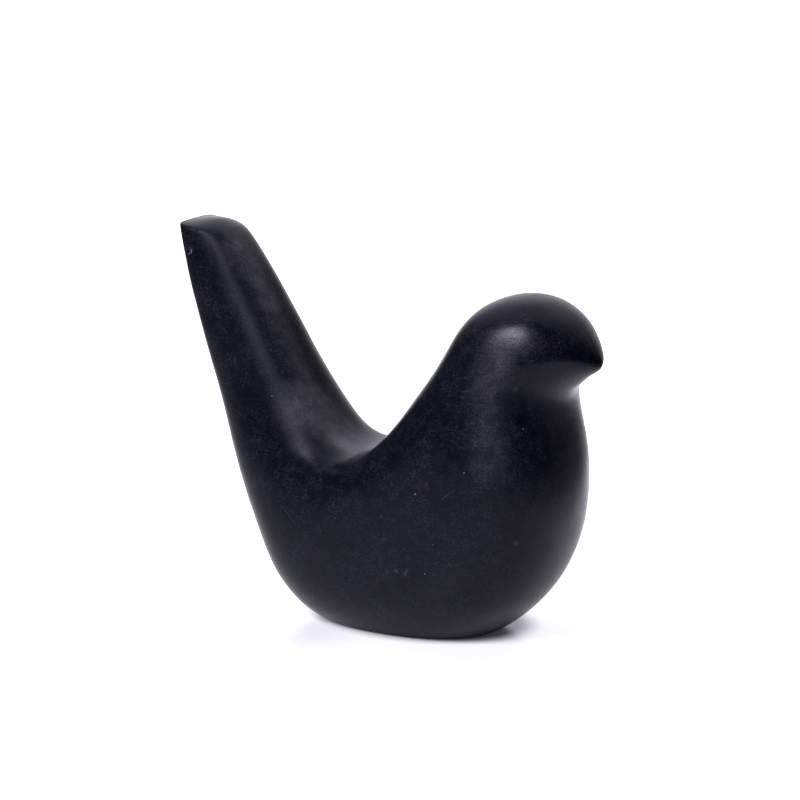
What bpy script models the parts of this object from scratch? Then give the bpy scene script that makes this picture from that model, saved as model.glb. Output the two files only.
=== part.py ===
"""A bird carved from one block of black marble, standing on its flat-ground belly.

The form is a hull of ribs, as a boat's is. Each rib joins a point of the back line (front of the
tail, saddle, nape, crown, forehead) to a point of the belly line (back of the tail, rump, belly,
chest, throat, underside of the beak). The ribs fan round the saddle and then round the throat.
Half a cage is laid over the ribs, mirrored and smoothed, and the belly is then sawn flat.

Metres, +Z up. The bird faces +X and stands on z = 0, with the middle of its length over the origin.
"""

import math
from typing import NamedTuple

import bmesh
import bpy
import numpy as np

# Driving dimensions, in metres
LENGTH = 0.135
HEIGHT = 0.112
WIDTH = 0.056
TAIL_END_DOME = 0.0030

# The cage: quads from the back line to the belly line, and rounds of smoothing
RING_STEPS = 8
SMOOTH_LEVELS = 2

# How crisp the end of the tail is, from the bird's back (0) round to its belly side (1)
END_CREASE_AT_BELLY_LINE = 0.95

# Polished black marble
MARBLE_COLOUR = (0.012, 0.013, 0.018, 1.0)
MARBLE_ROUGHNESS = 0.32


class Rib(NamedTuple):
    """One rib of the hull, as shares of the bird's own length, height and half width.

    widest is where the rib is widest, as a share of the way from its back to its belly point.
    The two square values say how boxy each half is: 2 is an ellipse and more is squarer.
    """

    back_x: float
    back_z: float
    belly_x: float
    belly_z: float
    half_width: float
    widest: float
    back_square: float
    belly_square: float


RIBS = (
    # tail, from its end down
    Rib(-0.394, 0.979, -0.500, 0.994, 0.33, 0.52, 2.5, 7.0),
    Rib(-0.359, 0.936, -0.493, 0.962, 0.37, 0.52, 2.5, 7.0),
    Rib(-0.295, 0.823, -0.467, 0.845, 0.43, 0.50, 2.5, 6.0),
    Rib(-0.218, 0.668, -0.428, 0.695, 0.51, 0.49, 2.5, 4.5),
    Rib(-0.152, 0.543, -0.386, 0.540, 0.60, 0.47, 2.7, 3.4),
    # saddle and belly
    Rib(-0.110, 0.473, -0.347, 0.380, 0.71, 0.46, 3.1, 2.8),
    Rib(-0.071, 0.451, -0.286, 0.190, 0.81, 0.45, 4.0, 2.5),
    Rib(-0.029, 0.453, -0.186, 0.020, 0.90, 0.46, 4.7, 2.4),
    Rib(0.008, 0.478, 0.020, -0.045, 0.96, 0.45, 4.4, 2.4),
    Rib(0.047, 0.527, 0.225, -0.010, 1.00, 0.47, 3.8, 2.3),
    # neck and chest
    Rib(0.088, 0.592, 0.367, 0.125, 1.00, 0.50, 3.5, 2.2),
    Rib(0.126, 0.661, 0.428, 0.290, 0.96, 0.52, 3.2, 2.1),
    Rib(0.158, 0.727, 0.435, 0.450, 0.87, 0.50, 2.9, 2.1),
    Rib(0.189, 0.797, 0.417, 0.575, 0.77, 0.50, 2.7, 2.1),
    # head
    Rib(0.233, 0.857, 0.420, 0.640, 0.70, 0.56, 2.5, 1.9),
    Rib(0.309, 0.888, 0.439, 0.668, 0.62, 0.61, 2.4, 1.7),
    Rib(0.393, 0.874, 0.460, 0.690, 0.48, 0.59, 2.2, 1.6),
    Rib(0.454, 0.812, 0.480, 0.706, 0.28, 0.51, 2.1, 1.6),
)
# The beak's tip, as shares of the length and the height
BEAK_TIP = (0.504, 0.727)


def clear_scene() -> None:
    """Remove every object of the open scene."""
    for obj in list(bpy.data.objects):
        bpy.data.objects.remove(obj, do_unlink=True)


def on_middle_plane(x_share: float, z_share: float) -> np.ndarray:
    """A point of the bird's middle plane, in metres, from shares of its length and height."""
    return np.array((x_share * LENGTH, 0.0, z_share * HEIGHT))


def rib_ring(rib: Rib) -> list[np.ndarray]:
    """Points of half a rib, from the back line round the bird's left side to the belly line."""
    back = on_middle_plane(rib.back_x, rib.back_z)
    belly = on_middle_plane(rib.belly_x, rib.belly_z)
    middle = back + (belly - back) * rib.widest
    side = np.array((0.0, rib.half_width * WIDTH / 2, 0.0))
    ring = []
    for step in range(RING_STEPS + 1):
        angle = math.pi / 2 - math.pi * step / RING_STEPS
        towards = back if angle > 0 else belly
        square = rib.back_square if angle > 0 else rib.belly_square
        along = abs(math.sin(angle)) ** (2 / square)
        across = max(math.cos(angle), 0.0) ** (2 / square)
        ring.append(middle + (towards - middle) * along + side * across)
    return ring


def skin_of(cage: np.ndarray) -> np.ndarray:
    """Where the smoothed skin passes each point of a cage of rings, mirrored in y = 0."""
    mirror = np.array((1.0, -1.0, 1.0))
    around = np.concatenate((cage[:, 1:2] * mirror, cage, cage[:, -2:-1] * mirror), axis=1)
    skin = (around[:, :-2] + 4 * around[:, 1:-1] + around[:, 2:]) / 6
    inner = (skin[:-2] + 4 * skin[1:-1] + skin[2:]) / 6
    return np.concatenate((skin[:1], inner, skin[-1:]))


def proud_cage(rings: np.ndarray) -> np.ndarray:
    """A cage that stands proud of the rings, so that the smoothed skin passes through them."""
    cage = rings.copy()
    for _ in range(6):
        cage += rings - skin_of(cage)
    return cage


def close_tail_end(mesh: bmesh.types.BMesh, end: list[bmesh.types.BMVert]) -> None:
    """Close the tail's end from its half ring to the middle plane, a little domed.

    The end is crisp at the bird's rear side and runs softly over to the front of the tail.
    """
    front = end[0].co.copy()
    depth = (end[-1].co - front).length
    middle = [end[0]]
    for vert in end[1:-1]:
        point = vert.co.copy()
        point.y = 0.0
        share = (point - front).length / depth
        point.z += TAIL_END_DOME * 4 * share * (1 - share)
        middle.append(mesh.verts.new(point))
    middle.append(end[-1])
    for step in range(RING_STEPS):
        corners = [middle[step], middle[step + 1], end[step + 1], end[step]]
        mesh.faces.new([vert for n, vert in enumerate(corners) if vert not in corners[:n]])
    crease = mesh.edges.layers.float["crease_edge"]
    for step in range(RING_STEPS):
        edge = mesh.edges.get((end[step], end[step + 1]))
        edge[crease] = END_CREASE_AT_BELLY_LINE * step / (RING_STEPS - 1)


def half_cage() -> bpy.types.Mesh:
    """The left half of the cage, open at y = 0."""
    cage = proud_cage(np.array([rib_ring(rib) for rib in RIBS]))
    mesh = bmesh.new()
    mesh.edges.layers.float.new("crease_edge")
    rows = [[mesh.verts.new(point) for point in ring] for ring in cage]
    for row, following in zip(rows, rows[1:]):
        for a, b, c, d in zip(row, row[1:], following[1:], following):
            mesh.faces.new((a, b, c, d))
    close_tail_end(mesh, rows[0])
    tip = mesh.verts.new(on_middle_plane(*BEAK_TIP))
    for a, b in zip(rows[-1], rows[-1][1:]):
        mesh.faces.new((a, b, tip))
    bmesh.ops.recalc_face_normals(mesh, faces=mesh.faces)
    for face in mesh.faces:
        face.smooth = True
    data = bpy.data.meshes.new("bird")
    mesh.to_mesh(data)
    mesh.free()
    return data


def add_saw_block(collection: bpy.types.Collection) -> bpy.types.Object:
    """Add the block that takes off the belly below z = 0: its top face is the floor."""
    mesh = bmesh.new()
    bmesh.ops.create_cube(mesh, size=1.0)
    bmesh.ops.scale(mesh, vec=(2 * LENGTH, 2 * WIDTH, HEIGHT), verts=mesh.verts)
    bmesh.ops.translate(mesh, vec=(0.0, 0.0, -HEIGHT / 2), verts=mesh.verts)
    data = bpy.data.meshes.new("saw_block")
    mesh.to_mesh(data)
    mesh.free()
    saw = bpy.data.objects.new("saw_block", data)
    saw.hide_render = True
    saw.display_type = "WIRE"
    collection.objects.link(saw)
    return saw


def marble() -> bpy.types.Material:
    """Honed and waxed black marble with a blue cast."""
    material = bpy.data.materials.new("black_marble")
    material.use_nodes = True
    shader = material.node_tree.nodes["Principled BSDF"]
    shader.inputs["Base Color"].default_value = MARBLE_COLOUR
    shader.inputs["Roughness"].default_value = MARBLE_ROUGHNESS
    shader.inputs["Metallic"].default_value = 0.0
    material.diffuse_color = MARBLE_COLOUR
    return material


def add_bird(collection: bpy.types.Collection, saw: bpy.types.Object) -> bpy.types.Object:
    """Add the bird: half a cage, mirrored, smoothed and sawn flat below."""
    bird = bpy.data.objects.new("bird", half_cage())
    collection.objects.link(bird)
    bird.data.materials.append(marble())

    mirror = bird.modifiers.new("mirror", "MIRROR")
    mirror.use_axis = (False, True, False)
    mirror.use_clip = True
    mirror.merge_threshold = 0.00001

    smooth = bird.modifiers.new("smooth", "SUBSURF")
    smooth.levels = SMOOTH_LEVELS
    smooth.render_levels = SMOOTH_LEVELS

    flat_base = bird.modifiers.new("flat_base", "BOOLEAN")
    flat_base.operation = "DIFFERENCE"
    flat_base.solver = "EXACT"
    flat_base.object = saw
    return bird


def main() -> None:
    """Build the bird in its own collection, with the cutter in another."""
    clear_scene()
    parts = bpy.data.collections.new("marble_bird")
    cutters = bpy.data.collections.new("cutters")
    bpy.context.scene.collection.children.link(parts)
    bpy.context.scene.collection.children.link(cutters)
    add_bird(parts, add_saw_block(cutters))


main()
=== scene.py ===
"""A bird carved from one block of black marble, on a white photographer's table.

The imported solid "bird" gives the whole form. Here its skin is made fine, its near shoulder a little
fuller, the rim of its ground belly soft and the corner of its tail chipped. The stone gets its honed
and waxed finish, with the marks that the picture shows.

Metres, +Z up. The bird faces +X and stands on z = 0, with the middle of its length over the origin.
"""

import logging
import math
from collections.abc import Callable, Sequence
from dataclasses import dataclass, field
from enum import Enum

import bpy
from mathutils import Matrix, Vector


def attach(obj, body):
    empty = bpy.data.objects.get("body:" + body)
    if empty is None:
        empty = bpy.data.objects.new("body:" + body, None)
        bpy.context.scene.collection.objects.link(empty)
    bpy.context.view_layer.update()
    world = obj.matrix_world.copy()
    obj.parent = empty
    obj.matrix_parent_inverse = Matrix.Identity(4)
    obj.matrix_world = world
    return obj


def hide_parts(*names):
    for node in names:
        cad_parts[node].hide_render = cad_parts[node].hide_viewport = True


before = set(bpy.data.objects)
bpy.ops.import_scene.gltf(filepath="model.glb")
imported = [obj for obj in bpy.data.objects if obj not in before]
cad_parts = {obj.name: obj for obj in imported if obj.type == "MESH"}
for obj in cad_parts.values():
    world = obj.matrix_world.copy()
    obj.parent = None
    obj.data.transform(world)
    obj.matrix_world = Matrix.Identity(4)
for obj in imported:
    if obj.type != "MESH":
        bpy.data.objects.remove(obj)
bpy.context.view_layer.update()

LOG = logging.getLogger("marble_bird")
PICTURE_SIDE = 800.0  # pixels

Pixel = tuple[float, float]
Triple = tuple[float, float, float]
Colour = tuple[float, float, float, float]
Socket = bpy.types.NodeSocket
Source = Socket | float | Triple | Colour


def direction(azimuth: float, elevation: float) -> Vector:
    """Where something stands that looks at the bird, as a unit vector from the bird.

    Args:
        azimuth: Degrees round from the bird's near side (-Y) towards its head (+X).
        elevation: Degrees above the table.

    Returns:
        The unit vector.
    """
    turn, rise = math.radians(azimuth), math.radians(elevation)
    flat = math.cos(rise)
    return Vector((math.sin(turn) * flat, -math.cos(turn) * flat, math.sin(rise)))


def select_only(piece: bpy.types.Object) -> None:
    """Make one object the active one and the only one selected.

    Args:
        piece: The object.
    """
    bpy.ops.object.select_all(action="DESELECT")
    piece.select_set(True)
    bpy.context.view_layer.objects.active = piece


class Pick(Enum):
    """What is picked in edit mode."""

    CORNERS = "VERT"
    EDGES = "EDGE"
    FACES = "FACE"


def in_edit_mode(pick: Pick, everything: bool = False) -> None:
    """Open the active object's mesh.

    Args:
        pick: What is picked.
        everything: Whether all of the mesh gets selected.
    """
    bpy.ops.object.mode_set(mode="EDIT")
    bpy.ops.mesh.select_mode(type=pick.value)
    if everything:
        bpy.ops.mesh.select_all(action="SELECT")


def out_of_edit_mode() -> None:
    """Close the active object's mesh."""
    bpy.ops.object.mode_set(mode="OBJECT")


# The camera


@dataclass(frozen=True)
class StudioCamera:
    """The camera of the picture, with the long lens that flattens the bird."""

    azimuth: float = 30.0
    elevation: float = 12.5
    distance: float = 1.2
    lens: float = 189.0
    sensor: float = 36.0
    nearest: float = 0.05
    farthest: float = 40.0
    target: Triple = (0.002, 0.0, 0.0646)

    def eye(self) -> Vector:
        """Where the camera stands."""
        return Vector(self.target) + direction(self.azimuth, self.elevation) * self.distance

    def ray_through(self, pixel: Pixel) -> Vector:
        """The way from the camera through one pixel of the picture.

        Args:
            pixel: Pixels from the left and from the top.

        Returns:
            A unit vector.
        """
        back = direction(self.azimuth, self.elevation)
        right = direction(self.azimuth + 90.0, 0.0)
        above = back.cross(right)
        reach = PICTURE_SIDE * self.lens / self.sensor
        across, down = pixel[0] - PICTURE_SIDE / 2, pixel[1] - PICTURE_SIDE / 2
        return (right * across - above * down - back * reach).normalized()

    def place_under(self, pixel: Pixel, stone: bpy.types.Object) -> Vector:
        """The place on the stone that a pixel of the picture shows.

        Args:
            pixel: Pixels from the left and from the top.
            stone: The carving.

        Returns:
            The place, in metres.
        """
        hit, place, _, _ = stone.ray_cast(self.eye(), self.ray_through(pixel))
        if not hit:
            raise ValueError(f"pixel {pixel} doesn't show the stone")
        return place

    def build(self) -> bpy.types.Object:
        """Add the camera and make it the scene's own.

        Returns:
            The camera object.
        """
        bpy.ops.object.select_all(action="DESELECT")
        aim = -direction(self.azimuth, self.elevation)
        bpy.ops.object.camera_add(location=self.eye(), rotation=aim.to_track_quat("-Z", "Y").to_euler())
        camera = bpy.context.object
        camera.name = "studio_camera"
        camera.data.lens = self.lens
        camera.data.sensor_width = self.sensor
        camera.data.clip_start = self.nearest
        camera.data.clip_end = self.farthest
        bpy.context.scene.camera = camera
        return camera


# Nodes


class Wiring:
    """Adds the nodes of one node tree and joins them up."""

    def __init__(self, tree: bpy.types.NodeTree) -> None:
        """Take the tree to work in.

        Args:
            tree: A material's, the world's or a group's node tree.
        """
        self.tree = tree

    def add(self, kind: str, **settings: object) -> bpy.types.Node:
        """Add one node.

        Args:
            kind: The node's type.
            settings: What to set on the node itself.

        Returns:
            The node.
        """
        node = self.tree.nodes.new(kind)
        for name, value in settings.items():
            setattr(node, name, value)
        return node

    def feed(self, socket: Socket, source: Source) -> None:
        """Join something to an input, or set the input to a value.

        Args:
            socket: The input.
            source: An output to join to it, or its value.
        """
        if isinstance(source, Socket):
            self.tree.links.new(source, socket)
        else:
            socket.default_value = source

    def number_of(self, operation: str, *sources: Source) -> Socket:
        """Work out a number from others.

        Args:
            operation: The Math node's operation.
            sources: What goes in.

        Returns:
            The result.
        """
        node = self.add("ShaderNodeMath", operation=operation)
        for socket, source in zip(node.inputs, sources):
            self.feed(socket, source)
        return node.outputs[0]

    def vector_of(self, operation: str, *sources: Source) -> Socket:
        """Work out a vector, or a number from vectors.

        Args:
            operation: The Vector Math node's operation.
            sources: What goes in.

        Returns:
            The result.
        """
        node = self.add("ShaderNodeVectorMath", operation=operation)
        for socket, source in zip(node.inputs, sources):
            self.feed(socket, source)
        number = operation in ("DOT_PRODUCT", "LENGTH", "DISTANCE")
        return node.outputs["Value" if number else "Vector"]

    def highest(self, numbers: Sequence[Source]) -> Source:
        """The highest of some numbers from 0 up, and 0 if there are none.

        Args:
            numbers: The numbers.

        Returns:
            The highest.
        """
        top: Source = 0.0
        for number in numbers:
            top = self.number_of("MAXIMUM", top, number)
        return top

    def scaled(self, vector: Source, factor: Source) -> Socket:
        """Make a vector longer or shorter.

        Args:
            vector: The vector.
            factor: How many times as long it gets.

        Returns:
            The new vector.
        """
        longer = self.vector_of("SCALE", vector)
        self.feed(longer.node.inputs["Scale"], factor)
        return longer

    def reach_towards(self, place: Source, azimuth: float) -> Socket:
        """How far a place or a view lies towards one level direction.

        Args:
            place: The place or the view.
            azimuth: The direction, in degrees.

        Returns:
            The reach.
        """
        return self.vector_of("DOT_PRODUCT", place, tuple(direction(azimuth, 0.0)))

    def step(self, value: Source, low: Source, high: Source) -> Socket:
        """Turn a number into a soft step from 0 to 1.

        Args:
            value: The number.
            low: Where the step starts.
            high: Where it ends, which may be lower than its start.

        Returns:
            The step.
        """
        node = self.add("ShaderNodeMapRange", interpolation_type="SMOOTHSTEP")
        for name, source in (("Value", value), ("From Min", low), ("From Max", high)):
            self.feed(node.inputs[name], source)
        return node.outputs[0]

    def blend(self, share: Source, first: Source, second: Source) -> Socket:
        """Blend two colours.

        Args:
            share: How much of the second shows.
            first: The colour at 0.
            second: The colour at 1.

        Returns:
            The blended colour.
        """
        node = self.add("ShaderNodeMix", data_type="RGBA")
        for number, source in ((0, share), (6, first), (7, second)):
            self.feed(node.inputs[number], source)
        return node.outputs[2]

    def noise(self, vector: Source, scale: Source, detail: float, rough: float = 0.5) -> Socket:
        """Cloudy noise.

        Args:
            vector: Where it is read.
            scale: Lumps to the metre.
            detail: Rounds of finer lumps.
            rough: How strong each finer round is.

        Returns:
            A number around 0.5.
        """
        node = self.add("ShaderNodeTexNoise")
        given = {"Vector": vector, "Scale": scale, "Detail": detail, "Roughness": rough}
        for name, source in given.items():
            self.feed(node.inputs[name], source)
        return node.outputs["Fac"]

    def stretched(self, vector: Source, turn: Triple, scale: Triple) -> Socket:
        """Turn and stretch the places that a pattern is read at.

        Args:
            vector: The places.
            turn: The turn about each axis, in degrees.
            scale: The stretch along each turned axis.

        Returns:
            The new places.
        """
        node = self.add("ShaderNodeMapping")
        self.feed(node.inputs["Vector"], vector)
        node.inputs["Rotation"].default_value = [math.radians(angle) for angle in turn]
        node.inputs["Scale"].default_value = scale
        return node.outputs["Vector"]

    def relief(
        self, height: Source, depth: float, cut: bool = False, over: Socket | None = None
    ) -> Socket:
        """Turn a height into bumps or cuts.

        Args:
            height: The height.
            depth: How many metres a height of 1 stands for.
            cut: Whether it goes into the surface.
            over: The normal of the surface that it is laid over.

        Returns:
            The new normal.
        """
        node = self.add("ShaderNodeBump", invert=cut)
        for name, source in (("Strength", 1.0), ("Distance", depth), ("Height", height)):
            self.feed(node.inputs[name], source)
        if over is not None:
            self.feed(node.inputs["Normal"], over)
        return node.outputs["Normal"]


def start_material(name: str) -> tuple[bpy.types.Material, Wiring, bpy.types.Node, Socket]:
    """Start a material.

    Args:
        name: Its name.

    Returns:
        The material, its wiring, its shader, and the places on the piece that wears it.
    """
    material = bpy.data.materials.new(name)
    material.use_nodes = True
    wiring = Wiring(material.node_tree)
    place = wiring.add("ShaderNodeTexCoord").outputs["Object"]
    return material, wiring, material.node_tree.nodes["Principled BSDF"], place


class Effect:
    """A shader node group with named inputs and outputs, built once and placed many times."""

    name = "effect"
    inputs: dict[str, Source] = {}
    outputs: tuple[str, ...] = ()

    def tree(self) -> bpy.types.NodeTree:
        """The group's node tree, built on first use.

        Returns:
            The tree.
        """
        known = bpy.data.node_groups.get(self.name)
        if known:
            return known
        tree = bpy.data.node_groups.new(self.name, "ShaderNodeTree")
        for name, value in self.inputs.items():
            kind = "NodeSocketFloat" if isinstance(value, float) else "NodeSocketVector"
            socket = tree.interface.new_socket(name, in_out="INPUT", socket_type=kind)
            socket.default_value = value
        for name in self.outputs:
            tree.interface.new_socket(name, in_out="OUTPUT", socket_type="NodeSocketFloat")
        wiring = Wiring(tree)
        given = wiring.add("NodeGroupInput")
        taken = wiring.add("NodeGroupOutput")
        for name, socket in self.wire(wiring, given.outputs).items():
            tree.links.new(socket, taken.inputs[name])
        return tree

    def wire(self, wiring: Wiring, given: Sequence[Socket]) -> dict[str, Socket]:
        """Lay out what the effect does.

        Args:
            wiring: The group's wiring.
            given: The group's inputs.

        Returns:
            What goes to each named output.
        """
        raise NotImplementedError

    def place(self, wiring: Wiring, **sources: Source) -> Sequence[Socket]:
        """Put the effect into a material.

        Args:
            wiring: The material's wiring.
            sources: What goes to each input, by its name.

        Returns:
            The effect's outputs.
        """
        node = wiring.add("ShaderNodeGroup", node_tree=self.tree())
        for name, source in sources.items():
            wiring.feed(node.inputs[name], source)
        return node.outputs


@dataclass(frozen=True)
class Cloudiness:
    """One noise of the mottling: its lumps to the metre, its finer rounds, and the step cut into it."""

    scale: float
    detail: float
    rough: float
    low: float
    high: float
    turn: float = 0.0


class Mottle(Effect):
    """The cloudy grey-blue mottling of the stone, from broad veils to fine grain."""

    name = "mottle"
    inputs = {"Place": (0.0, 0.0, 0.0), "Fineness": 1.0}
    layers = {
        "Veil": Cloudiness(85.0, 4.0, 0.60, 0.40, 0.66),
        "Clouds": Cloudiness(330.0, 3.0, 0.55, 0.36, 0.68),
        "Grain": Cloudiness(1900.0, 1.0, 0.50, 0.36, 0.66),
        "Cast": Cloudiness(260.0, 3.0, 0.60, 0.38, 0.62, turn=40.0),
    }
    outputs = tuple(layers)

    def wire(self, wiring: Wiring, given: Sequence[Socket]) -> dict[str, Socket]:
        """Lay each noise through the stone and cut it to a soft step.

        Args:
            wiring: The group's wiring.
            given: The group's inputs.

        Returns:
            What goes to each named output.
        """
        place = wiring.scaled(given["Place"], given["Fineness"])
        laid = {}
        for name, layer in self.layers.items():
            turned = wiring.stretched(place, (0.0, 0.0, layer.turn), (1.0, 1.0, 1.0))
            noise = wiring.noise(turned, layer.scale, layer.detail, layer.rough)
            laid[name] = wiring.step(noise, layer.low, layer.high)
        return laid


@dataclass(frozen=True)
class Scratches:
    """Scratches of one depth: how they are turned, how long and fine they are, and how sharp."""

    turns: tuple[Triple, ...]
    stretch: Triple
    low: float
    high: float


class SandingMarks(Effect):
    """Fine straight scratches that the sanding left, crossing at several angles."""

    name = "sanding_marks"
    inputs = {"Place": (0.0, 0.0, 0.0), "Fineness": 1.0}
    depths = {
        "Fine": Scratches(
            ((20.0, 35.0, 0.0), (-35.0, 60.0, 15.0), (75.0, -20.0, 40.0), (10.0, -50.0, 70.0)),
            (45.0, 2600.0, 2600.0),
            0.66,
            0.76,
        ),
        "Deep": Scratches(((35.0, 25.0, 40.0), (-60.0, 40.0, 80.0)), (140.0, 2200.0, 2200.0), 0.79, 0.83),
    }
    outputs = tuple(depths)

    def wire(self, wiring: Wiring, given: Sequence[Socket]) -> dict[str, Socket]:
        """Draw noises out along several directions and keep only their crests.

        Args:
            wiring: The group's wiring.
            given: The group's inputs.

        Returns:
            What goes to each named output.
        """
        place = wiring.scaled(given["Place"], given["Fineness"])
        kept = {}
        for name, marks in self.depths.items():
            drawn_out = [wiring.stretched(place, turn, marks.stretch) for turn in marks.turns]
            noises = [wiring.noise(run, 1.0, 0.0) for run in drawn_out]
            kept[name] = wiring.highest([wiring.step(noise, marks.low, marks.high) for noise in noises])
        return kept


class Pinheads(Effect):
    """Tiny round crystals in the stone, in one cell out of several."""

    name = "pinheads"
    inputs = {"Place": (0.0, 0.0, 0.0), "Cells": 250.0, "Share": 0.1, "Radius": 0.05}
    outputs = ("Crystals",)
    smallest = 0.4
    core = 0.5

    def wire(self, wiring: Wiring, given: Sequence[Socket]) -> dict[str, Socket]:
        """The middles of some cells.

        Args:
            wiring: The group's wiring.
            given: The group's inputs, with the radius as a share of a cell.

        Returns:
            What goes to each named output.
        """
        cells = wiring.add("ShaderNodeTexVoronoi")
        wiring.feed(cells.inputs["Vector"], given["Place"])
        wiring.feed(cells.inputs["Scale"], given["Cells"])
        draw = wiring.add("ShaderNodeSeparateColor")
        wiring.feed(draw.inputs[0], cells.outputs["Color"])
        there = wiring.number_of("LESS_THAN", draw.outputs[0], given["Share"])
        grown = wiring.number_of("ADD", draw.outputs[1], self.smallest)
        size = wiring.number_of("MULTIPLY", given["Radius"], grown)
        dot = wiring.step(cells.outputs["Distance"], size, wiring.number_of("MULTIPLY", size, self.core))
        return {"Crystals": wiring.number_of("MULTIPLY", there, dot)}


class Streak(Effect):
    """A mark that runs straight from one place to another, or sits round one place."""

    name = "streak"
    inputs = {
        "Place": (0.0, 0.0, 0.0),
        "Start": (0.0, 0.0, 0.0),
        "Along": (0.0, 0.0, 0.001),
        "Radius": 0.001,
        "Core": 0.45,
        "Strength": 1.0,
    }
    outputs = ("Mask",)
    least_span = 1e-10

    def wire(self, wiring: Wiring, given: Sequence[Socket]) -> dict[str, Socket]:
        """How near a place is to the line.

        Args:
            wiring: The group's wiring.
            given: The group's inputs.

        Returns:
            What goes to each named output.
        """
        offset = wiring.vector_of("SUBTRACT", given["Place"], given["Start"])
        run = wiring.vector_of("DOT_PRODUCT", offset, given["Along"])
        span = wiring.vector_of("DOT_PRODUCT", given["Along"], given["Along"])
        share = wiring.number_of("DIVIDE", run, wiring.number_of("MAXIMUM", span, self.least_span))
        share.node.use_clamp = True
        gap = wiring.vector_of("DISTANCE", offset, wiring.scaled(given["Along"], share))
        inner = wiring.number_of("MULTIPLY", given["Radius"], given["Core"])
        mask = wiring.step(gap, given["Radius"], inner)
        return {"Mask": wiring.number_of("MULTIPLY", mask, given["Strength"])}


# Marks on the stone


class MarkKind(Enum):
    """What kind of mark it is."""

    CRYSTAL = "crystal"
    DULL_SPOT = "dull_spot"
    PALE_SCRATCH = "pale_scratch"
    DARK_NICK = "dark_nick"
    RUST = "rust"
    # Haze marks: a duller finish, with a paler colour painted over it as sheen.
    HAZE = "haze"
    SATIN = "satin"


@dataclass(frozen=True)
class Mark:
    """One mark that the picture shows, from pixel to pixel. A round one starts where it ends.

    The core is the share of the radius that it fills evenly, and it fades from there outwards.
    """

    name: str
    start: Pixel
    end: Pixel
    radius: float
    core: float = 0.45
    strength: float = 1.0


def spot(name: str, middle: Pixel, radius: float, strength: float = 1.0) -> Mark:
    """A round mark.

    Args:
        name: Where it is.
        middle: The pixel at its middle.
        radius: Its radius in metres.
        strength: How plainly it shows, from 0 to 1.

    Returns:
        The mark.
    """
    return Mark(name, middle, middle, radius, strength=strength)


MARKS = {
    MarkKind.CRYSTAL: (
        spot("on_breast", (464.0, 473.0), 0.00028),
        spot("on_flank", (415.0, 494.0), 0.00028),
        spot("low_on_flank", (425.0, 574.0), 0.00026, 0.7),
        spot("on_chest", (523.0, 429.0), 0.00026, 0.6),
        spot("on_rump", (272.0, 396.0), 0.00026, 0.7),
        spot("on_tail", (278.0, 307.0), 0.00024, 0.5),
        spot("faint_on_flank", (433.0, 545.0), 0.00022, 0.4),
        Mark("in_the_chip", (191.0, 250.0), (191.5, 252.5), 0.00036, strength=0.45),
    ),
    MarkKind.DULL_SPOT: (
        spot("under_cheek", (516.0, 389.0), 0.00080, 0.8),
        spot("low_on_flank", (396.0, 571.0), 0.00085, 0.9),
        spot("beside_it", (450.0, 565.0), 0.00060, 0.6),
        spot("on_breast", (516.0, 543.0), 0.00110, 0.5),
        spot("grey_on_flank", (381.0, 517.0), 0.00055, 0.6),
        Mark("long_low_on_flank", (405.0, 575.0), (407.0, 570.0), 0.00050, strength=0.7),
    ),
    MarkKind.PALE_SCRATCH: (
        Mark("hook_on_cheek_down", (497.0, 361.0), (500.0, 366.0), 0.00020, strength=0.6),
        Mark("hook_on_cheek_up", (500.0, 366.0), (505.0, 366.0), 0.00020, strength=0.6),
        Mark("over_flank", (441.0, 500.0), (454.0, 490.0), 0.00018, strength=0.35),
        Mark("on_flank", (372.0, 545.0), (378.0, 554.0), 0.00018, strength=0.3),
        Mark("long_on_rump", (281.0, 505.0), (296.0, 525.0), 0.00018, strength=0.4),
        Mark("hairline_under_chip", (192.0, 255.0), (202.0, 290.0), 0.00016, strength=0.2),
    ),
    MarkKind.DARK_NICK: (
        Mark("under_cheek", (511.0, 375.0), (519.0, 372.0), 0.00035, strength=0.8),
    ),
    MarkKind.RUST: (
        Mark("on_cheek", (516.0, 338.0), (521.0, 331.0), 0.00060, strength=0.4),
    ),
    # Where the stone gets a duller finish and a painted sheen: a paler colour that stands in for highlights.
    MarkKind.HAZE: (
        Mark("up_the_tail", (240.0, 246.0), (272.0, 304.0), 0.0075, core=0.0, strength=0.90),
        Mark("on_the_tail", (276.0, 315.0), (306.0, 378.0), 0.0085, core=0.0, strength=0.55),
        Mark("in_the_tails_crook", (312.0, 404.0), (342.0, 432.0), 0.0125, core=0.25),
        Mark("under_the_cheek", (499.0, 358.0), (489.0, 386.0), 0.0080, core=0.0, strength=0.50),
        Mark("down_the_neck", (489.0, 400.0), (490.0, 466.0), 0.0090, core=0.0, strength=0.30),
    ),
    MarkKind.SATIN: (
        Mark("up_the_ridge", (211.0, 236.0), (246.0, 312.0), 0.0055, core=0.25),
        Mark("down_the_ridge", (246.0, 312.0), (280.0, 398.0), 0.0055, core=0.25),
        Mark("at_the_crook", (280.0, 398.0), (303.0, 440.0), 0.0070, core=0.35),
    ),
}


# Finishes


@dataclass(frozen=True)
class MarkLook:
    """How one kind of mark changes the stone: its tone and how much of it shows, and its surface."""

    tone: Colour = (0.0, 0.0, 0.0, 1.0)
    share: float = 0.0
    duller: float = 0.0
    depth: float = 0.0


MARK_LOOKS = {
    MarkKind.DULL_SPOT: MarkLook((0.030, 0.031, 0.040, 1.0), 0.75, duller=0.12),
    MarkKind.PALE_SCRATCH: MarkLook((0.036, 0.038, 0.048, 1.0), 0.80, depth=2.0),
    MarkKind.DARK_NICK: MarkLook((0.0008, 0.0008, 0.0012, 1.0), 0.90, depth=4.0),
    MarkKind.RUST: MarkLook((0.050, 0.018, 0.012, 1.0), 0.80, duller=0.12),
    MarkKind.CRYSTAL: MarkLook((0.16, 0.17, 0.20, 1.0), 0.85),
    MarkKind.HAZE: MarkLook(duller=0.12),
    MarkKind.SATIN: MarkLook(duller=0.20),
}


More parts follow.
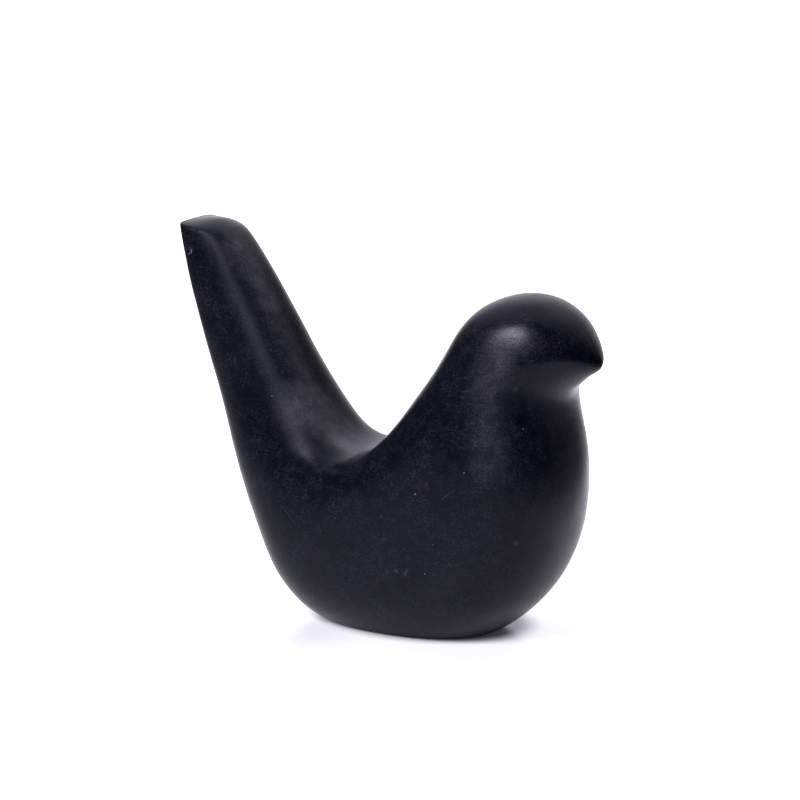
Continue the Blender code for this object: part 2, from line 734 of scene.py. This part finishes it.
@dataclass(frozen=True)
class HonedMarble:
    """Black marble, honed and waxed to a satin, with its mottling, sanding marks and blemishes, and patches
    of painted sheen.
    """

    name: str = "honed_black_marble"
    deep: Colour = (0.0004, 0.0006, 0.0032, 1.0)
    bluish: Colour = (0.0066, 0.0096, 0.0168, 1.0)
    greyish: Colour = (0.0108, 0.0100, 0.0164, 1.0)
    # The pale grey that is painted over the stone as sheen.
    painted_sheen: Colour = (0.046, 0.046, 0.053, 1.0)
    least_lift: float = 0.03
    clouds_lift: float = 0.45
    veil_lift: float = 0.35
    grain_gain: float = 1.5
    grain_loss: float = -0.12
    least_sheen: float = 0.45
    sheen_patches: float = 0.35
    pinhead_cells: float = 240.0
    pinhead_share: float = 0.03
    pinhead_radius: float = 0.055
    pinhead_strength: float = 0.25
    specular: float = 0.135
    roughness: float = 0.27
    veil_duller: float = 0.04
    clouds_duller: float = 0.03
    sanding_duller: float = 0.05
    grain_height: float = 0.000007
    cut_depth: float = 0.000010
    fine_cut: float = 0.6
    deep_cut: float = 1.5
    marks: Sequence[tuple[MarkKind, Mark, Vector, Vector]] = ()

    def masks(self, wiring: Wiring, place: Socket) -> dict[MarkKind, Source]:
        """Where each kind of mark lies.

        Args:
            wiring: The material's wiring.
            place: The places on the stone.

        Returns:
            One mask for each kind.
        """
        found: dict[MarkKind, list[Socket]] = {kind: [] for kind in MarkKind}
        for kind, mark, start, end in self.marks:
            outputs = Streak().place(
                wiring,
                Place=place,
                Start=tuple(start),
                Along=tuple(end - start),
                Radius=mark.radius,
                Core=mark.core,
                Strength=mark.strength,
            )
            found[kind].append(outputs["Mask"])
        return {kind: wiring.highest(masks) for kind, masks in found.items()}

    def mottled(self, wiring: Wiring, mottle: Sequence[Socket]) -> Socket:
        """The stone's own colour, without its marks.

        Args:
            wiring: The material's wiring.
            mottle: The mottling's outputs.

        Returns:
            The colour.
        """
        broad = wiring.number_of("MULTIPLY", mottle["Veil"], self.veil_lift)
        broad = wiring.number_of("MULTIPLY_ADD", mottle["Clouds"], self.clouds_lift, broad)
        broad = wiring.number_of("ADD", broad, self.least_lift)
        speckle = wiring.number_of("MULTIPLY_ADD", mottle["Grain"], self.grain_gain, self.grain_loss)
        tinted = wiring.blend(mottle["Cast"], self.bluish, self.greyish)
        return wiring.blend(wiring.number_of("MULTIPLY", broad, speckle), self.deep, tinted)

    def marked(
        self, wiring: Wiring, place: Socket, mottle: Sequence[Socket], masks: dict[MarkKind, Source]
    ) -> Socket:
        """The stone's colour with its painted sheen, its crystals and its marks.

        Args:
            wiring: The material's wiring.
            place: The places on the stone.
            mottle: The mottling's outputs.
            masks: Where each kind of mark lies.

        Returns:
            The colour.
        """
        # Painted sheen: the haze marks lighten the colour, patchily, towards a pale grey.
        patchy = wiring.number_of("MULTIPLY_ADD", mottle["Clouds"], self.sheen_patches, self.least_sheen)
        patchy = wiring.number_of("MULTIPLY_ADD", mottle["Grain"], self.sheen_patches, patchy)
        haze = wiring.number_of("MULTIPLY", masks[MarkKind.HAZE], patchy)
        colour = wiring.blend(haze, self.mottled(wiring, mottle), self.painted_sheen)
        crystals = Pinheads().place(
            wiring,
            Place=place,
            Cells=self.pinhead_cells,
            Share=self.pinhead_share,
            Radius=self.pinhead_radius,
        )["Crystals"]
        glint = wiring.number_of("MULTIPLY", crystals, self.pinhead_strength)
        colour = wiring.blend(glint, colour, MARK_LOOKS[MarkKind.CRYSTAL].tone)
        for kind, look in MARK_LOOKS.items():
            share = wiring.number_of("MULTIPLY", masks[kind], look.share)
            colour = wiring.blend(share, colour, look.tone)
        return colour

    def build(self) -> bpy.types.Material:
        """Make the material.

        Returns:
            The material.
        """
        material, wiring, shader, place = start_material(self.name)
        mottle = Mottle().place(wiring, Place=place)
        sanding = SandingMarks().place(wiring, Place=place)
        masks = self.masks(wiring, place)
        rough = wiring.number_of("MULTIPLY_ADD", mottle["Veil"], self.veil_duller, self.roughness)
        rough = wiring.number_of("MULTIPLY_ADD", mottle["Clouds"], self.clouds_duller, rough)
        rough = wiring.number_of("MULTIPLY_ADD", sanding["Fine"], self.sanding_duller, rough)
        depth = wiring.number_of("MULTIPLY", sanding["Fine"], self.fine_cut)
        depth = wiring.number_of("MULTIPLY_ADD", sanding["Deep"], self.deep_cut, depth)
        for kind, look in MARK_LOOKS.items():
            rough = wiring.number_of("MULTIPLY_ADD", masks[kind], look.duller, rough)
            depth = wiring.number_of("MULTIPLY_ADD", masks[kind], look.depth, depth)
        height = wiring.number_of("ADD", mottle["Grain"], mottle["Clouds"])
        grain = wiring.relief(height, self.grain_height)
        wiring.feed(shader.inputs["Base Color"], self.marked(wiring, place, mottle, masks))
        wiring.feed(shader.inputs["Specular IOR Level"], self.specular)
        wiring.feed(shader.inputs["Roughness"], rough)
        wiring.feed(shader.inputs["Normal"], wiring.relief(depth, self.cut_depth, cut=True, over=grain))
        return material


@dataclass(frozen=True)
class GroundMarble:
    """The underside, ground flat on a coarse stone and left unwaxed."""

    name: str = "ground_black_marble"
    deep: Colour = (0.011, 0.012, 0.016, 1.0)
    powdery: Colour = (0.032, 0.034, 0.040, 1.0)
    clouds_lift: float = 0.4
    sanding_lift: float = 0.5
    sanding_fineness: float = 0.55
    specular: float = 0.2
    roughness: float = 0.62
    veil_duller: float = 0.12
    cut_depth: float = 0.00003

    def build(self) -> bpy.types.Material:
        """Make the material.

        Returns:
            The material.
        """
        material, wiring, shader, place = start_material(self.name)
        mottle = Mottle().place(wiring, Place=place)
        sanding = SandingMarks().place(wiring, Place=place, Fineness=self.sanding_fineness)
        lift = wiring.number_of("MULTIPLY", mottle["Clouds"], self.clouds_lift)
        lift = wiring.number_of("MULTIPLY_ADD", sanding["Fine"], self.sanding_lift, lift)
        rough = wiring.number_of("MULTIPLY_ADD", mottle["Veil"], self.veil_duller, self.roughness)
        depth = wiring.number_of("ADD", sanding["Fine"], sanding["Deep"])
        wiring.feed(shader.inputs["Base Color"], wiring.blend(lift, self.deep, self.powdery))
        wiring.feed(shader.inputs["Specular IOR Level"], self.specular)
        wiring.feed(shader.inputs["Roughness"], rough)
        wiring.feed(shader.inputs["Normal"], wiring.relief(depth, self.cut_depth, cut=True))
        return material


# The carving


@dataclass(frozen=True)
class RimStep:
    """One step of the rounded rim under the belly: how far down, and how far in."""

    down: float
    inward: float


@dataclass
class CarvedBird:
    """The carving: its fine skin, its fuller shoulder, its softened rim and the chip in its tail."""

    node: str = "bird"
    body: str = "root"
    slot: str = "marble"
    weld: float = 0.00001
    trim_weld: float = 0.0000001
    facing_down: float = -0.9
    quad_fold: float = math.radians(50.0)
    quad_skew: float = math.radians(60.0)
    arris_angle: float = math.radians(35.0)
    arris_crease: float = 0.38
    skin_levels: int = 2
    rim_height: float = 0.00045
    rim_steps: tuple[RimStep, ...] = (
        RimStep(0.00023, 0.00038),
        RimStep(0.00014, 0.00042),
        RimStep(0.00008, 0.00055),
    )
    base_margin: float = 0.0008
    hand_work_size: float = 0.016
    hand_work_depth: float = 0.00028
    hand_work_from: float = 0.0020
    hand_work_full: float = 0.0080
    shoulder: tuple[Pixel, ...] = (
        (232.0, 262.0),
        (262.0, 335.0),
        (276.0, 365.0),
        (288.0, 385.0),
        (299.0, 405.0),
        (310.0, 425.0),
        (326.0, 446.0),
    )
    shoulder_reach: float = 0.0110
    shoulder_fill: float = 0.0013
    shoulder_top: float = 0.1000
    shoulder_rise: float = 0.0300
    shoulder_front: float = 0.0040
    shoulder_run: float = 0.0160
    chip_pixel: Pixel = (190.5, 251.0)
    chip_reach: float = 0.0026
    chip_size: float = 0.0011
    chip_depth: float = 0.00055
    chip_cuts: int = 2
    camera: StudioCamera = field(default_factory=StudioCamera)

    def is_ground(self, face: bpy.types.MeshPolygon) -> bool:
        """Whether a face is part of the flat ground belly."""
        return face.center.z < self.weld and face.normal.z < self.facing_down

    def copy_of_solid(self) -> bpy.types.Object:
        """Copy the solid's skin, weld it and open it under the belly.

        Returns:
            The new piece.
        """
        piece = bpy.data.objects.new("carved_bird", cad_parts[self.node].data.copy())
        piece.data.name = "carved_bird"
        piece.data.materials.clear()
        bpy.context.scene.collection.objects.link(piece)
        select_only(piece)
        bpy.ops.mesh.customdata_custom_splitnormals_clear()
        in_edit_mode(Pick.CORNERS, everything=True)
        bpy.ops.mesh.remove_doubles(threshold=self.weld)
        bpy.ops.mesh.select_all(action="DESELECT")
        out_of_edit_mode()
        for face in piece.data.polygons:
            face.select = self.is_ground(face)
        in_edit_mode(Pick.FACES)
        bpy.ops.mesh.delete(type="FACE")
        bpy.ops.mesh.select_all(action="SELECT")
        bpy.ops.mesh.tris_convert_to_quads(face_threshold=self.quad_fold, shape_threshold=self.quad_skew)
        out_of_edit_mode()
        return piece

    def refine_skin(self, piece: bpy.types.Object) -> None:
        """Keep the tail's arrises crisp and smooth all the rest.

        Args:
            piece: The carving.
        """
        in_edit_mode(Pick.EDGES)
        bpy.ops.mesh.select_all(action="DESELECT")
        bpy.ops.mesh.edges_select_sharp(sharpness=self.arris_angle)
        bpy.ops.transform.edge_crease(value=self.arris_crease)
        out_of_edit_mode()
        bpy.ops.object.modifier_add(type="SUBSURF")
        skin = piece.modifiers[-1]
        skin.levels = skin.render_levels = self.skin_levels
        bpy.ops.object.modifier_apply(modifier=skin.name)

    def fill_shoulder(self, piece: bpy.types.Object) -> None:
        """Leave the near shoulder a little fuller, where the tail turns into the saddle.

        Args:
            piece: The carving.
        """
        path = [self.camera.place_under(pixel, piece) for pixel in self.shoulder]
        self.move_skin(piece, lambda place: self.share_of_fill(place, path), self.shoulder_fill)

    def share_of_fill(self, place: Vector, path: Sequence[Vector]) -> float:
        """How much of the shoulder's fill a place gets.

        Args:
            place: The place.
            path: The places that the shoulder runs through.

        Returns:
            The share, from 0 to 1.
        """
        gap = min(self.gap_to_run(place, start, end) for start, end in zip(path, path[1:]))
        near = self.eased(1 - gap / self.shoulder_reach)
        low = self.eased((self.shoulder_top - place.z) / self.shoulder_rise)
        back = self.eased((self.shoulder_front - place.x) / self.shoulder_run)
        return near * low * back

    @staticmethod
    def move_skin(
        piece: bpy.types.Object,
        share_at: Callable[[Vector], float],
        depth: float,
        lumps: bpy.types.Texture | None = None,
    ) -> None:
        """Move the skin straight out, or in where lumps are given.

        Args:
            piece: The carving.
            share_at: How much of the move a place gets, from 0 to 1.
            depth: The whole move, in metres.
            lumps: A pattern, by whose dark parts the skin goes in.
        """
        group = piece.vertex_groups.new(name="moved")
        for vertex in piece.data.vertices:
            share = share_at(vertex.co)
            if share > 0.0:
                group.add([vertex.index], share, "REPLACE")
        bpy.ops.object.modifier_add(type="DISPLACE")
        move = piece.modifiers[-1]
        move.vertex_group = group.name
        move.strength = depth
        move.mid_level = 0.0
        if lumps is not None:
            move.texture = lumps
            move.texture_coords = "LOCAL"
            move.mid_level = 1.0
        bpy.ops.object.modifier_apply(modifier=move.name)
        piece.vertex_groups.clear()

    @staticmethod
    def eased(share: float) -> float:
        """A share held between 0 and 1, with both ends softened."""
        held = min(max(share, 0.0), 1.0)
        return held * held * (3 - 2 * held)

    @staticmethod
    def gap_to_run(place: Vector, start: Vector, end: Vector) -> float:
        """How far a place is from a straight run.

        Args:
            place: The place.
            start: Where the run starts.
            end: Where it ends.

        Returns:
            The gap in metres.
        """
        along = end - start
        share = min(max((place - start).dot(along) / along.length_squared, 0.0), 1.0)
        return (place - start - along * share).length

    def round_base_rim(self, piece: bpy.types.Object) -> None:
        """Trim the skin just above the table and carry it down and in to the ground face.

        Args:
            piece: The carving.
        """
        in_edit_mode(Pick.EDGES, everything=True)
        bpy.ops.mesh.bisect(
            plane_co=(0.0, 0.0, self.rim_height),
            plane_no=(0.0, 0.0, 1.0),
            clear_inner=True,
            threshold=self.trim_weld,
        )
        out_of_edit_mode()
        places = [vertex.co for vertex in piece.data.vertices]
        rim = [place for place in places if place.z < self.rim_height + self.weld]
        low_x, high_x = min(place.x for place in rim), max(place.x for place in rim)
        half_x, half_y = (high_x - low_x) / 2, max(place.y for place in rim)
        level = self.rim_height
        in_edit_mode(Pick.EDGES)
        bpy.ops.mesh.select_all(action="DESELECT")
        bpy.ops.mesh.select_non_manifold(extend=False)
        for step in self.rim_steps:
            level -= step.down
            bpy.ops.mesh.extrude_edges_move(TRANSFORM_OT_translate={"value": (0.0, 0.0, -step.down)})
            bpy.ops.transform.resize(
                value=(1 - step.inward / half_x, 1 - step.inward / half_y, 1.0),
                center_override=((low_x + high_x) / 2, 0.0, level),
            )
            half_x -= step.inward
            half_y -= step.inward
        bpy.ops.mesh.edge_face_add()
        bpy.ops.mesh.select_mode(type=Pick.FACES.value)
        bpy.ops.mesh.inset(thickness=self.base_margin)
        out_of_edit_mode()

    def hand_work(self, piece: bpy.types.Object) -> None:
        """Take off the slight unevenness that carving and sanding by hand leave.

        Args:
            piece: The carving.
        """
        lumps = bpy.data.textures.new("hand_work", "CLOUDS")
        lumps.noise_scale = self.hand_work_size
        lumps.noise_depth = 1
        span = self.hand_work_full - self.hand_work_from
        self.move_skin(
            piece,
            lambda place: self.eased((place.z - self.hand_work_from) / span),
            self.hand_work_depth,
            lumps,
        )

    def chip_tail(self, piece: bpy.types.Object) -> None:
        """Knock a small flake out of the tail's near back arris.

        Args:
            piece: The carving.
        """
        middle = self.camera.place_under(self.chip_pixel, piece)
        for face in piece.data.polygons:
            face.select = (face.center - middle).length < self.chip_reach
        for edge in piece.data.edges:
            edge.select = False
        in_edit_mode(Pick.FACES)
        bpy.ops.mesh.subdivide(number_cuts=self.chip_cuts)
        bpy.ops.mesh.select_all(action="DESELECT")
        out_of_edit_mode()
        nearest = min(piece.data.vertices, key=lambda vertex: (vertex.co - middle).length)
        inward = -nearest.normal * self.chip_depth
        nearest.select = True
        in_edit_mode(Pick.CORNERS)
        bpy.ops.transform.translate(
            value=inward,
            use_proportional_edit=True,
            proportional_edit_falloff="SPHERE",
            proportional_size=self.chip_size,
        )
        out_of_edit_mode()

    def dress(self, piece: bpy.types.Object) -> None:
        """Give the skin its honed finish and the ground face its own.

        Args:
            piece: The carving.
        """
        placed = [
            (kind, mark, self.camera.place_under(mark.start, piece), self.camera.place_under(mark.end, piece))
            for kind, marks in MARKS.items()
            for mark in marks
        ]
        piece.data.materials.append(HonedMarble(marks=placed).build())
        piece.data.materials.append(GroundMarble().build())
        for face in piece.data.polygons:
            face.use_smooth = True
            face.material_index = int(self.is_ground(face))

    def build(self) -> bpy.types.Object:
        """Make the carving.

        Returns:
            The finished piece.
        """
        piece = self.copy_of_solid()
        self.refine_skin(piece)
        self.fill_shoulder(piece)
        self.round_base_rim(piece)
        self.hand_work(piece)
        self.chip_tail(piece)
        self.dress(piece)
        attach(piece, self.body)
        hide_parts(self.node)
        return piece


# The studio


@dataclass(frozen=True)
class SoftPanel:
    """A lamp behind a large white diffuser."""

    name: str
    azimuth: float
    elevation: float
    distance: float
    width: float
    height: float
    brightness: float
    colour: Triple = (1.0, 0.975, 1.12)
    aim: Triple = (0.0, 0.0, 0.06)

    def build(self) -> bpy.types.Object:
        """Add the lamp.

        Returns:
            The lamp object.
        """
        outward = direction(self.azimuth, self.elevation)
        bpy.ops.object.select_all(action="DESELECT")
        bpy.ops.object.light_add(
            type="AREA",
            location=Vector(self.aim) + outward * self.distance,
            rotation=(-outward).to_track_quat("-Z", "Y").to_euler(),
        )
        lamp = bpy.context.object
        lamp.name = self.name
        lamp.data.shape = "ELLIPSE"
        lamp.data.size = self.width
        lamp.data.size_y = self.height
        lamp.data.energy = self.brightness * math.pi * (math.pi / 4 * self.width * self.height)
        lamp.data.color = self.colour
        return lamp


@dataclass(frozen=True)
class Glow:
    """A soft round bright area of the studio."""

    azimuth: float
    elevation: float
    core: float
    edge: float
    brightness: float


@dataclass(frozen=True)
class Screen:
    """The white screen that stands in a curve behind the table."""

    azimuth: float = 207.0
    core: float = 25.0
    edge: float = 41.0
    top_from: float = 34.0
    top_by: float = 58.0
    brightness: float = 1.35


@dataclass(frozen=True)
class Room:
    """The studio round the table: a white screen behind, a pale ceiling, dim towards the camera."""

    dimmest: float = 0.045
    tint: Colour = (1.0, 0.975, 1.12, 1.0)
    seen_colour: Colour = (1.0, 1.0, 1.0, 1.0)
    seen_brightness: float = 1.2
    screen: Screen = Screen()
    glows: tuple[Glow, ...] = (
        Glow(203.0, 59.0, 30.0, 52.0, 1.15),
        Glow(-65.0, 22.0, 22.0, 50.0, 0.10),
    )

    def build(self) -> bpy.types.World:
        """Make the world.

        Returns:
            The world.
        """
        world = bpy.data.worlds.new("studio_room")
        bpy.context.scene.world = world
        world.use_nodes = True
        wiring = Wiring(world.node_tree)
        toward = wiring.add("ShaderNodeTexCoord").outputs["Generated"]
        light: Source = self.dimmest
        for glow in self.glows:
            middle = tuple(direction(glow.azimuth, glow.elevation))
            nearness = wiring.vector_of("DOT_PRODUCT", toward, middle)
            edge, core = math.cos(math.radians(glow.edge)), math.cos(math.radians(glow.core))
            share = wiring.step(nearness, edge, core)
            light = wiring.number_of("MULTIPLY_ADD", share, glow.brightness, light)
        light = wiring.number_of("MAXIMUM", light, self.screen_light(wiring, toward))
        room = world.node_tree.nodes["Background"]
        wiring.feed(room.inputs["Color"], self.tint)
        wiring.feed(room.inputs["Strength"], light)
        seen = wiring.add("ShaderNodeBackground")
        wiring.feed(seen.inputs["Color"], self.seen_colour)
        wiring.feed(seen.inputs["Strength"], self.seen_brightness)
        choice = wiring.add("ShaderNodeMixShader")
        wiring.feed(choice.inputs[0], wiring.add("ShaderNodeLightPath").outputs["Is Camera Ray"])
        wiring.feed(choice.inputs[1], room.outputs[0])
        wiring.feed(choice.inputs[2], seen.outputs[0])
        wiring.feed(world.node_tree.nodes["World Output"].inputs["Surface"], choice.outputs[0])
        return world

    def screen_light(self, wiring: Wiring, toward: Socket) -> Socket:
        """How bright the screen is, seen from the bird.

        Args:
            wiring: The world's wiring.
            toward: The way that is looked in.

        Returns:
            The brightness.
        """
        along = wiring.reach_towards(toward, self.screen.azimuth)
        across = wiring.reach_towards(toward, self.screen.azimuth + 90.0)
        rise = wiring.vector_of("DOT_PRODUCT", toward, (0.0, 0.0, 1.0))
        turn = wiring.number_of("ABSOLUTE", wiring.number_of("ARCTAN2", across, along))
        sides = wiring.step(turn, math.radians(self.screen.edge), math.radians(self.screen.core))
        top_from, top_by = math.radians(self.screen.top_from), math.radians(self.screen.top_by)
        top = wiring.step(rise, math.sin(top_by), math.sin(top_from))
        share = wiring.number_of("MULTIPLY", sides, top)
        return wiring.number_of("MULTIPLY", share, self.screen.brightness)


@dataclass(frozen=True)
class Passage:
    """Where the table's own light passes into another, towards one level direction."""

    azimuth: float
    start: float
    end: float
    light: Colour


@dataclass(frozen=True)
class WhiteTable:
    """The glossy white table, which glows by its own emission, more so behind the bird: painted light for the
    stone to reflect.

    The stone reflects its light with the table's dark end. The camera sees a plain pale top instead,
    so that the end crosses no view.
    """

    name: str = "white_table"
    radius: float = 6.0
    sides: int = 96
    colour: Colour = (0.38, 0.375, 0.39, 1.0)
    specular: float = 0.16
    roughness: float = 0.22
    near: Colour = (0.69, 0.685, 0.735, 1.0)
    behind: Passage = Passage(140.0, 0.02, 0.16, (1.45, 1.42, 1.54, 1.0))
    past_end: Passage = Passage(112.0, 0.12, 0.21, (0.03, 0.03, 0.03, 1.0))
    front: Passage = Passage(-40.0, 0.30, 0.80, (0.20, 0.20, 0.22, 1.0))
    unlit: Colour = (0.03, 0.03, 0.03, 1.0)
    plain: Colour = (0.66, 0.66, 0.70, 1.0)
    plain_far: Colour = (1.10, 1.10, 1.10, 1.0)
    far_from: float = 0.12
    far_by: float = 0.35
    shadow_start: Triple = (-0.018, -0.028, 0.0)
    shadow_along: Triple = (-0.130, -0.010, 0.0)
    shadow_radius: float = 0.026
    shadow_core: float = 0.1
    shadow_depth: float = 0.30
    shade_middle: Triple = (0.008, 0.004, 0.0)
    shade_half_length: float = 0.030
    shade_half_breadth: float = 0.022
    shade_from: float = 1.25
    shade_full: float = 0.92

    def build(self) -> bpy.types.Object:
        """Add the table top.

        Returns:
            The table top.
        """
        bpy.ops.object.select_all(action="DESELECT")
        bpy.ops.mesh.primitive_circle_add(vertices=self.sides, radius=self.radius, fill_type="NGON")
        table = bpy.context.object
        table.name = self.name
        table.data.name = self.name
        material, wiring, shader, place = start_material("white_acrylic")
        wiring.feed(shader.inputs["Base Color"], self.colour)
        wiring.feed(shader.inputs["Specular IOR Level"], self.specular)
        wiring.feed(shader.inputs["Roughness"], self.roughness)
        # Painted light: the table glows by emission, with painted shadows near the bird.
        wiring.feed(shader.inputs["Emission Color"], self.light(wiring, place))
        wiring.feed(shader.inputs["Emission Strength"], 1.0)
        table.data.materials.append(material)
        return table

    def light(self, wiring: Wiring, place: Socket) -> Socket:
        """The table's own light, as the stone reflects it and as the camera sees it.

        Args:
            wiring: The material's wiring.
            place: The places on the table.

        Returns:
            The colour of the light.
        """
        lit: Source = self.near
        for passage in (self.behind, self.past_end, self.front):
            reach = wiring.reach_towards(place, passage.azimuth)
            lit = wiring.blend(wiring.step(reach, passage.start, passage.end), lit, passage.light)
        looked_at = wiring.add("ShaderNodeLightPath").outputs["Is Camera Ray"]
        lit = wiring.blend(looked_at, lit, self.plain_top(wiring, place))
        return wiring.blend(self.shade(wiring, place), lit, self.unlit)

    def plain_top(self, wiring: Wiring, place: Socket) -> Socket:
        """The plain top that the camera sees, with a faint shadow to the left of the bird.

        Args:
            wiring: The material's wiring.
            place: The places on the table.

        Returns:
            The colour of the light.
        """
        distance = wiring.vector_of("LENGTH", place)
        plain = wiring.blend(wiring.step(distance, self.far_from, self.far_by), self.plain, self.plain_far)
        shadow = Streak().place(
            wiring,
            Place=place,
            Start=self.shadow_start,
            Along=self.shadow_along,
            Radius=self.shadow_radius,
            Core=self.shadow_core,
            Strength=self.shadow_depth,
        )["Mask"]
        return wiring.blend(shadow, plain, self.unlit)

    def shade(self, wiring: Wiring, place: Socket) -> Socket:
        """Where the bird keeps the light off the table, under its belly and just round it.

        Args:
            wiring: The material's wiring.
            place: The places on the table.

        Returns:
            How much light is kept off, from 0 to 1.
        """
        offset = wiring.vector_of("SUBTRACT", place, self.shade_middle)
        scale = (1 / self.shade_half_length, 1 / self.shade_half_breadth, 0.0)
        reach = wiring.vector_of("LENGTH", wiring.vector_of("MULTIPLY", offset, scale))
        return wiring.step(reach, self.shade_from, self.shade_full)


@dataclass(frozen=True)
class Studio:
    """Table, room and lamps."""

    table: WhiteTable = WhiteTable()
    room: Room = Room()
    panels: tuple[SoftPanel, ...] = (
        SoftPanel("key_panel", -7.0, 45.0, 1.3, 0.42, 0.56, 38.0),
    )

    def build(self) -> None:
        """Set the studio up."""
        self.table.build()
        self.room.build()
        for panel in self.panels:
            panel.build()
        bpy.context.scene.view_settings.view_transform = "Standard"
        bpy.context.scene.view_settings.look = "None"


def main() -> None:
    """Build the bird, its studio and the camera, in that order."""
    logging.basicConfig(level=logging.INFO, format="%(name)s: %(message)s")
    bird = CarvedBird().build()
    triangles = sum(len(face.vertices) - 2 for face in bird.data.polygons)
    LOG.info("%s: %d triangles", bird.name, triangles)
    Studio().build()
    LOG.info("studio: table, room and lamps")
    StudioCamera().build()
    LOG.info("camera set")


if __name__ == "__main__":
    main()
